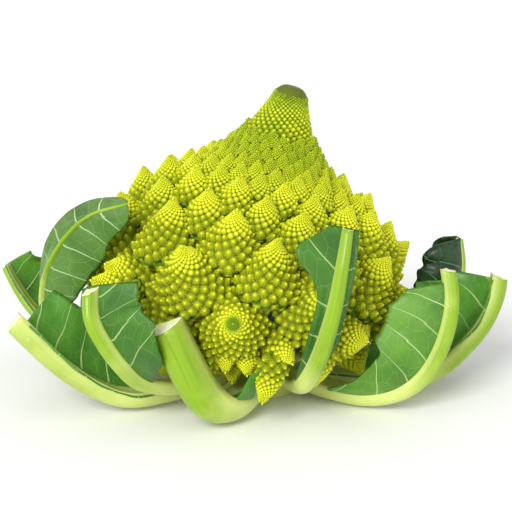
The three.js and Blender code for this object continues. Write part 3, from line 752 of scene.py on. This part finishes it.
def hangFlorets():
    hung = []
    for i, hanger in enumerate(hangers):
        foot, tip = Vector(hanger["foot"]), Vector(hanger["tip"])
        axis = (tip - foot).normalized()
        side = axis.cross(Vector((0, 0, 1))).normalized()
        hung.append({"n": 1000 + i, "s": floretShape["lastAt"], "point": foot, "axis": axis, "side": side,
                     "bend": side.cross(axis), "size": hanger["width"], "belly": hanger["belly"],
                     "stretch": (tip - foot).length / (floretShape["length"] * hanger["width"])})
    return hung


spots = floretSpots()
florets = fittedFlorets([spot for spot in spots if spot["s"] >= floretShape["buddedFrom"]]) + hangFlorets()
print("layout ready:", len(spots), "spots,", len(florets), "florets")


# buds: a few unit shapes that are stamped many times

budShape = {
    "pitch": 0.18,
    "pitchGrowth": 0.003,
    "widestBud": 4.4,
    "firstBud": 2.6,
    "sunk": 0.12,
    "plump": 0.55,
    "lean": 0.35,
    "coreShare": 0.9,
    "finestPitch": 1.0,
    "fineBelow": 1.25,
    "coneAbove": 3.1,
    "narrow": 0.12,
    "tall": 1.15,
    "dipShadeRise": 0.35,
    "rosetteSunk": 0.2,
    "fullSize": 18,
    "footPast": 1.04,
}


def stampFrom(bm, name, brightness=1, dips=()):
    # a unit bud or cone with its tip at the top, and what its material needs to know of each point
    rise = bm.verts.layers.float.new("rise")
    tone = bm.verts.layers.float.new("tone")
    spiral = bm.verts.layers.float_vector.new("spiral")
    top = max(v.co.z for v in bm.verts)
    low = min(v.co.z for v in bm.verts)
    for v in bm.verts:
        v[rise] = ((v.co.z - low) / (top - low)) ** brightness
        # painted shade: the sunken grooves of a ridged cone get a lower rise, so their colour runs darker
        if v.index in dips:
            v[rise] *= budShape["dipShadeRise"]
        v[tone] = 0.5
        reach = (Vector((0, 0, top)) - v.co).length
        flat = Vector((v.co.x, v.co.y))
        flat = flat.normalized() if flat.length > 1e-6 else Vector((1, 0))
        v[spiral] = Vector((flat.x, flat.y, 1)) * reach
    mesh = bpy.data.meshes.new(name)
    bm.to_mesh(mesh)
    bm.free()
    return {"mesh": mesh, "places": [v.co.copy() for v in mesh.vertices],
            "spirals": [Vector(item.vector) for item in mesh.attributes["spiral"].data]}


def beadStamp(name, subdivisions, cutBelow):
    bm = bmesh.new()
    bmesh.ops.create_icosphere(bm, subdivisions=subdivisions, radius=1)
    hidden = [f for f in bm.faces if f.calc_center_median().z < cutBelow]
    bmesh.ops.delete(bm, geom=hidden, context="FACES")
    for v in bm.verts:
        narrow = 1 - budShape["narrow"] * max(v.co.z, 0)
        v.co = Vector((v.co.x * narrow, v.co.y * narrow, v.co.z * budShape["tall"]))
    return stampFrom(bm, name)


def coneStamp(name, sides, rows, base, ridge, length, radius, bend, brightness, belly):
    # a cone with a blunt tip, spun from its outline, with ridges down its sides
    bm = bmesh.new()
    outline = []
    for j in range(rows + 1):
        t = base + (0.95 - base) * j / rows
        taper = 1 if t <= 0 else (1 - t) * (1 + belly * t)
        outline.append(bm.verts.new((radius * taper, 0, length * t)))
    outline.append(bm.verts.new((0, 0, length * 0.98)))
    spinOutline(bm, outline, sides, 1e-5)
    bmesh.ops.recalc_face_normals(bm, faces=bm.faces)
    bm.verts.index_update()
    dips = set()
    for v in bm.verts:
        t = v.co.z / length
        if 0 < t < 0.93 and ridge:
            turn = round((math.atan2(v.co.y, v.co.x) % (2 * math.pi)) / (2 * math.pi) * sides)
            raised = turn % 2
            out = 1 + ridge if raised else 1 - ridge
            v.co = Vector((v.co.x * out, v.co.y * out, v.co.z))
            if not raised:
                dips.add(v.index)
    made = stampFrom(bm, name, brightness, dips)
    for place in made["places"]:
        place.x += bend * length * max(place.z / length, 0) ** 2
    return made


coreCone = (floretShape["length"], floretShape["radius"] * budShape["coreShare"], floretShape["bend"])
stamps = {
    "fine": beadStamp("fineBead", 1, -0.35),
    "bead": beadStamp("bead", 2, -0.3),
    "rosette": coneStamp("rosetteBud", 18, 2, -0.1, 0.18, 1.35, 1.1, 0.0, 1, 0.1),
    # painted shade: the core's rise goes with its 4th power, so most of it shows the darkest curd colour
    # behind the buds
    "core": coneStamp("floretCore", 14, 5, -0.25, 0, *coreCone, 4, floretShape["belly"]),
}
for name, stamp in stamps.items():
    print("stamp", name, sum(len(p.vertices) - 2 for p in stamp["mesh"].polygons), "triangles")


def press(bm, stamp, place, axes, size, tone):
    # adds one copy of a stamp to the bmesh
    turn = Matrix(axes).transposed()
    data = stamp["mesh"]
    for vertex, co in zip(data.vertices, stamp["places"]):
        vertex.co = place + turn @ (co * size)
    for item, co in zip(data.attributes["spiral"].data, stamp["spirals"]):
        item.vector = co * size * mm
    data.attributes["tone"].data.foreach_set("value", [tone] * len(data.vertices))
    bm.from_mesh(data)


def axesFor(normal, forward):
    side = normal.cross(forward).normalized()
    return side.cross(normal).normalized(), side, normal


def buriedIn(others, place, margin):
    # true where a point lies well inside another floret
    for other in others:
        t = (place - other["point"]).dot(other["axis"]) / lengthOf(other)
        if -0.3 < t < 1:
            centre, radius = coneAt(other, t)
            out = place - centre
            out -= other["axis"] * out.dot(other["axis"])
            if out.length < radius - margin:
                return True
    return False


pieceLimit = 130000
shading = {
    "byChance": 0.16,
    "young": 0.5,
    "youngOver": (75, 32),
    "paintedLeafShadow": 0.6,
    "underLeaf": (-60, -76),
    "between": (58, 98),
    "most": 0.85,
    "bruised": (-6, -62, 44),
    "bruiseTo": (10, 3),
}


def toneOf(floret):
    # how green a floret is: by chance and deeper near the head's tip, plus painted shadow where the tall
    # leaf hangs over it
    tone = shading["byChance"] * draw(floret["n"], 7)
    x, y, z = floret["point"]
    lowest, highest = shading["between"]
    fromMiddle = abs(z - (lowest + highest) / 2)
    paintedLeafShadow = smooth(*shading["underLeaf"], x) * smooth(highest - lowest, 0, fromMiddle)
    young = shading["young"] * smooth(*shading["youngOver"], floret["s"])
    return min(tone + young + shading["paintedLeafShadow"] * paintedLeafShadow, shading["most"])


def dressFloret(bm, floret, others):
    # the floret's core, then its buds on a golden-angle spiral from its tip down to its foot
    size = floret["size"]
    length = lengthOf(floret)
    axes = (floret["bend"], floret["side"], floret["axis"] * floret["stretch"])
    tone = toneOf(floret)
    press(bm, stamps["core"], floret["point"], axes, size,
          shading["most"] if floret is bruised else tone)
    slant = math.hypot(length, floretShape["radius"] * size)
    sigma = budShape["firstBud"] * (0.5 + 0.5 * min(size / budShape["fullSize"], 1))
    k = 0
    hand = 1 if draw(floret["n"], 9) > 0.5 else -1
    while sigma < slant * budShape["footPast"]:
        centre, radius = coneAt(floret, 1 - sigma / slant)
        pitch = budShape["pitch"] * sigma + budShape["pitchGrowth"] * sigma * sigma
        pitch = min(max(pitch, budShape["finestPitch"]), budShape["widestBud"])
        angle = hand * k * goldenAngle + floret["n"]
        out = floret["bend"] * math.cos(angle) + floret["side"] * math.sin(angle)
        k += 1
        sigma += floretShape["packing"] * pitch * pitch / (2 * math.pi * max(radius, 0.5))
        place = centre + out * (radius - budShape["sunk"] * pitch)
        if buriedIn(others, place, pitch * 0.45):
            continue
        normal = (out * length + floret["axis"] * floretShape["radius"] * size).normalized()
        normal = (normal + floret["axis"] * budShape["lean"]).normalized()
        grown = pitch * budShape["plump"] * (0.92 + 0.16 * draw(k, floret["n"] + 0.5))
        kind = "fine" if pitch < budShape["fineBelow"] else "bead"
        if pitch >= budShape["coneAbove"]:
            kind = "rosette"
        sunk = budShape["rosetteSunk"] * grown if kind == "rosette" else 0
        bruise = smooth(*shading["bruiseTo"], sigma) if floret is bruised else 0
        press(bm, stamps[kind], place - normal * sunk, axesFor(normal, floret["axis"]), grown,
              tone + bruise)


bruised = min(florets, key=lambda floret: (floret["point"] - Vector(shading["bruised"])).length)


def growFlorets():
    tree = KDTree(len(florets))
    for i, floret in enumerate(florets):
        tree.insert(coneAt(floret, 0.3)[0], i)
    tree.balance()
    done = 0
    bm = bmesh.new()
    for i, floret in enumerate(florets):
        near = tree.find_range(coneAt(floret, 0.3)[0], floret["size"] * 1.6)
        dressFloret(bm, floret, [florets[j] for co, j, distance in near if j != i])
        if len(bm.faces) > pieceLimit or i == len(florets) - 1:
            done += 1
            print("florets up to", i + 1, "faces", len(bm.faces))
            finishPiece(bm, "curdFlorets" + str(done), "curd", [curdSkin])
            bm = bmesh.new()
    bm.free()


neckShape = {
    "coreTo": 48,
    "coreSides": 56,
    "firstAt": 9,
    "firstWidth": 0.95,
    "growth": 0.107,
    "lift": 30,
    "plump": 0.48,
    "sunk": 0.05,
}


def growTip():
    # the tip's core is spun from the head's outline, then leaned
    bm = bmesh.new()
    outline = [bm.verts.new((outlineAt(0.05 + s)[0], 0, outlineAt(0.05 + s)[1]))
               for s in range(neckShape["coreTo"])]
    spinOutline(bm, outline, neckShape["coreSides"], 0.02)
    bmesh.ops.recalc_face_normals(bm, faces=bm.faces)
    rise = bm.verts.layers.float.new("rise")
    tone = bm.verts.layers.float.new("tone")
    spiral = bm.verts.layers.float_vector.new("spiral")
    for v in bm.verts:
        flat = Vector((v.co.x, v.co.y))
        reach = math.hypot(flat.length, head["height"] - v.co.z) + 0.1
        flat = flat.normalized() if flat.length > 1e-6 else Vector((1, 0))
        v[spiral] = Vector((flat.x, flat.y, 1)) * reach * mm
        # painted shade: below the cap the core's rise is zero, so it shows dark between the neck's buds
        v[rise] = 0.4 * smooth(neckShape["firstAt"] * 1.5, neckShape["firstAt"], reach)
        v[tone] = 0.5
        v.co = leaned(v.co)
    finishPiece(bm, "curdTip", "curd", [tipSkin])
    bm = bmesh.new()
    s = neckShape["firstAt"]
    k = 0
    while s < floretShape["buddedFrom"] + 1:
        width = neckShape["firstWidth"] + neckShape["growth"] * (s - neckShape["firstAt"])
        point, normal, up = standAt(s, k * goldenAngle)
        lift = math.radians(neckShape["lift"] * smooth(15, 35, s))
        axis = normal * math.cos(lift) + up * math.sin(lift)
        size = width * neckShape["plump"] * (0.88 + 0.24 * draw(k, 3))
        kind = "fine" if width < budShape["fineBelow"] else "bead"
        place = point - normal * neckShape["sunk"] * width
        press(bm, stamps[kind], place, axesFor(axis, up), size,
              0.25 + 0.3 * draw(k, 4) + 0.4 * smooth(18, 9, s))
        s += floretShape["packing"] * width * width / (2 * math.pi * outlineAt(s)[0])
        k += 1
    finishPiece(bm, "curdTipBuds", "curd", [curdSkin])


coreShape = {"from": 40, "rows": 40, "sides": 64, "share": 0.96}


def growCore():
    # the fleshy stalk behind the florets, with painted shade in the gaps and pale underneath
    bm = bmesh.new()
    outline = []
    reach = floretShape["lastAt"] - coreShape["from"]
    for i in range(coreShape["rows"]):
        s = coreShape["from"] + i * reach / (coreShape["rows"] - 1)
        r, h = outlineAt(s)
        outline.append(bm.verts.new((r * coreShape["share"], 0, h)))
    spinOutline(bm, outline, coreShape["sides"], 0.02)
    bmesh.ops.holes_fill(bm, edges=bm.edges, sides=0)
    bmesh.ops.recalc_face_normals(bm, faces=bm.faces)
    for v in bm.verts:
        v.co = leaned(v.co)
    finishPiece(bm, "curdCore", "curd", [coreSkin])


growTip()
growCore()
growFlorets()
print("curd ready")


# leaves: meshes

ribDetail = {
    "steps": 48,
    "arc": 14,
    "flat": 6,
    "hollow": 0.05,
    "cutFrom": 0.84,
    "ragged": 0.7,
    "cornerFade": 0.4,
    "rim": 0.12,
    # the back leaves' negative values are painted shade: they dull pale feet that sit in shadow under the
    # head
    "pale": {"leaf_left_low": 0.25, "leaf_front": 0.05, "leaf_back_1": -0.4, "leaf_back_2": -0.4,
             "leaf_back_3": -0.4, "leaf_back_4": -0.3},
}


def ribPoint(leaf, share, k):
    # round outside, flat inside with a shallow groove; the end is cut aslant, lower on the outside
    if k <= ribDetail["arc"]:
        a = math.pi * k / ribDetail["arc"]
        across, outer = math.cos(a), math.sin(a) ** leafShape["roundness"]
    else:
        t = (k - ribDetail["arc"]) / ribDetail["flat"]
        across, outer = 2 * t - 1, ribDetail["hollow"] * math.sin(math.pi * t)
    slant = math.tan(math.radians(leaf["cut"])) * leaf["depth"][2] / leaf["length"]
    share -= slant * outer * smooth(ribDetail["cutFrom"], 1, share)
    point, tangent, right, inner = leafFrame(leaf, share)
    wide = along(leaf["width"], share) / 2
    return point + right * wide * across + inner * along(leaf["depth"], share) * (0.5 - outer), tangent


def growRib(leaf, index):
    bm = bmesh.new()
    arc, sides, steps = ribDetail["arc"], ribDetail["arc"] + ribDetail["flat"], ribDetail["steps"]
    ribPlace = bm.verts.layers.float_vector.new("ribPlace")
    paleness = bm.verts.layers.float.new("paleness")
    corner = bm.verts.layers.float.new("corner")
    rings = [bmesh.ops.create_circle(bm, cap_ends=False, segments=sides, radius=1)["verts"]]
    edges = bm.edges[:]
    for i in range(steps):
        made = bmesh.ops.extrude_edge_only(bm, edges=edges)["geom"]
        rings.append([item for item in made if isinstance(item, bmesh.types.BMVert)])
        fresh = set(rings[-1])
        edges = [item for item in made
                 if isinstance(item, bmesh.types.BMEdge) and fresh.issuperset(item.verts)]
    for i, ring in enumerate(rings):
        share = i / steps
        for k, v in enumerate(ring):
            v.co, tangent = ribPoint(leaf, share, k)
            if i == steps:
                v.co -= tangent * ribDetail["ragged"] * draw(k, index + 1)
            v[ribPlace] = Vector((k * 1.6 + index * 50, share * leaf["length"], 0))
            v[paleness] = smooth(0.75, 0.15, share) * 0.6 + ribDetail["pale"].get(leaf["name"], 0)
            v[corner] = max(1 - min(k, abs(k - arc), sides - k) * ribDetail["cornerFade"], 0)
    ends = bmesh.ops.holes_fill(bm, edges=bm.edges, sides=0)["faces"]
    bmesh.ops.recalc_face_normals(bm, faces=bm.faces)
    for face in ends:
        face.material_index = 1
    bmesh.ops.inset_region(bm, faces=ends, thickness=leaf["depth"][2] * ribDetail["rim"], depth=0.0)
    finishPiece(bm, leaf["name"].replace("leaf_", "rib_"), leaf["name"] + "_rib",
                [ribSkin, cutPith])


bladeDetail = {"rows": 60, "columns": 22, "edgeWobble": 0.06, "swell": 0.9, "veinLean": 0.6}


def growBlade(leaf, index):
    bm = bmesh.new()
    bmesh.ops.create_grid(bm, x_segments=bladeDetail["columns"], y_segments=bladeDetail["rows"], size=1)
    sheetPlace = bm.verts.layers.float_vector.new("sheetPlace")
    outside = bm.verts.layers.float.new("outside")
    start = min(leaf["left"]["from"], leaf["right"]["from"])
    end = max(leaf["left"]["to"], leaf["right"]["to"])
    for v in bm.verts:
        across = v.co.x if abs(v.co.x) > 1e-4 else 1e-4
        share = start + (end - start) * (v.co.y + 1) / 2
        rough = noise.noise(Vector((share * 18, index * 3.1, across)))
        fray = 1 + bladeDetail["edgeWobble"] * rough * abs(across)
        place, normal, reach = bladePoint(leaf, index, share, across * fray, leafShape["lift"])
        swell = bladeDetail["swell"] * noise.noise(Vector((share * 9, across * 2.2, index * 5.7)))
        v.co = place + normal * swell * smooth(0, 0.5, abs(across))
        onward = share * leaf["length"] - abs(reach) * bladeDetail["veinLean"]
        v[sheetPlace] = Vector((reach + index * 70, onward + index * 40, abs(across)))
        v[outside] = 1
    made = bmesh.ops.solidify(bm, geom=bm.faces[:], thickness=leafShape["thickness"])["geom"]
    bmesh.ops.recalc_face_normals(bm, faces=bm.faces)
    for item in made:
        if isinstance(item, bmesh.types.BMVert):
            item[outside] = 0
    finishPiece(bm, leaf["name"].replace("leaf_", "blade_"), leaf["name"] + "_blade",
                [bladeSkins[leaf["skin"]]])


def ribLength(path, steps=20):
    marks = [pointOn(path, i / steps) for i in range(steps + 1)]
    return sum((b - a).length for a, b in zip(marks, marks[1:]))


for index, leaf in enumerate(leaves):
    leaf["length"] = ribLength(leaf["path"])
    growRib(leaf, index)
    growBlade(leaf, index)
print("leaves ready")


stumpShape = {"radius": 20, "height": 25.7, "edge": 1.2, "sides": 64, "paleness": 0.7}


def growStump():
    bm = bmesh.new()
    radius = stumpShape["radius"]
    bmesh.ops.create_cone(bm, cap_ends=True, segments=stumpShape["sides"], radius1=radius, radius2=radius,
                          depth=stumpShape["height"])
    bmesh.ops.translate(bm, verts=bm.verts, vec=(0, 0, stumpShape["height"] / 2))
    rim = [e for e in bm.edges if all(v.co.z < 0.01 for v in e.verts)]
    bmesh.ops.bevel(bm, geom=rim, offset=stumpShape["edge"], affect="EDGES", segments=4, profile=0.5,
                    material=-1)
    ribPlace = bm.verts.layers.float_vector.new("ribPlace")
    paleness = bm.verts.layers.float.new("paleness")
    for v in bm.verts:
        v[ribPlace] = Vector((math.atan2(v.co.y, v.co.x) * radius, v.co.z, 0))
        v[paleness] = stumpShape["paleness"]
    for face in bm.faces:
        if face.calc_center_median().z < 0.01:
            face.material_index = 1
    finishPiece(bm, "stumpStalk", "stump", [ribSkin, cutPith])


growStump()
print("stump ready")


# floor, light and camera

studio = {
    "floorSize": 6,
    "floor": "#FAFAF8",
    "floorRoughness": 0.9,
    "surround": 0.68,
    "target": (0, 0, 0.066),
    "distance": 1.0,
    "elevation": 15,
    "lens": 147,
    "sensor": 36,
    "suns": [
        {"name": "keySun", "place": (-0.5, -1.25, 0.85), "softness": 25, "strength": 2.4},
        {"name": "leftSun", "place": (-1.1, -0.8, 0.4), "softness": 60, "strength": 0.5},
        {"name": "rightSun", "place": (0.9, -1.0, 0.4), "softness": 60, "strength": 0.5},
    ],
}


def buildStudio():
    bm = bmesh.new()
    bmesh.ops.create_grid(bm, x_segments=1, y_segments=1, size=studio["floorSize"] / 2)
    mesh = bpy.data.meshes.new("studioFloor")
    bm.to_mesh(mesh)
    bm.free()
    floor = bpy.data.objects.new("studioFloor", mesh)
    bpy.context.scene.collection.objects.link(floor)
    material, tree, shader = newMaterial("White paper sweep")
    shader.inputs["Base Color"].default_value = fromHex(studio["floor"])
    shader.inputs["Roughness"].default_value = studio["floorRoughness"]
    mesh.materials.append(material)
    world = bpy.data.worlds.new("studioWorld")
    bpy.context.scene.world = world
    world.use_nodes = True
    background = world.node_tree.nodes["Background"]
    background.inputs["Color"].default_value = (1, 1, 1, 1)
    background.inputs["Strength"].default_value = studio["surround"]
    bpy.context.scene.view_settings.view_transform = "Standard"
    for sun in studio["suns"]:
        data = bpy.data.lights.new(sun["name"], "SUN")
        data.angle = math.radians(sun["softness"])
        data.energy = sun["strength"]
        light = bpy.data.objects.new(sun["name"], data)
        light.location = sun["place"]
        beam = Vector(studio["target"]) - Vector(sun["place"])
        light.rotation_euler = beam.to_track_quat("-Z", "Y").to_euler()
        bpy.context.scene.collection.objects.link(light)


def buildCamera():
    data = bpy.data.cameras.new("camera")
    data.lens = studio["lens"]
    data.sensor_width = studio["sensor"]
    camera = bpy.data.objects.new("camera", data)
    rise = math.radians(studio["elevation"])
    back = Vector((0, -math.cos(rise), math.sin(rise)))
    camera.location = Vector(studio["target"]) + back * studio["distance"]
    camera.rotation_euler = (-back).to_track_quat("-Z", "Y").to_euler()
    bpy.context.scene.collection.objects.link(camera)
    bpy.context.scene.camera = camera


buildStudio()
buildCamera()
print("studio ready")
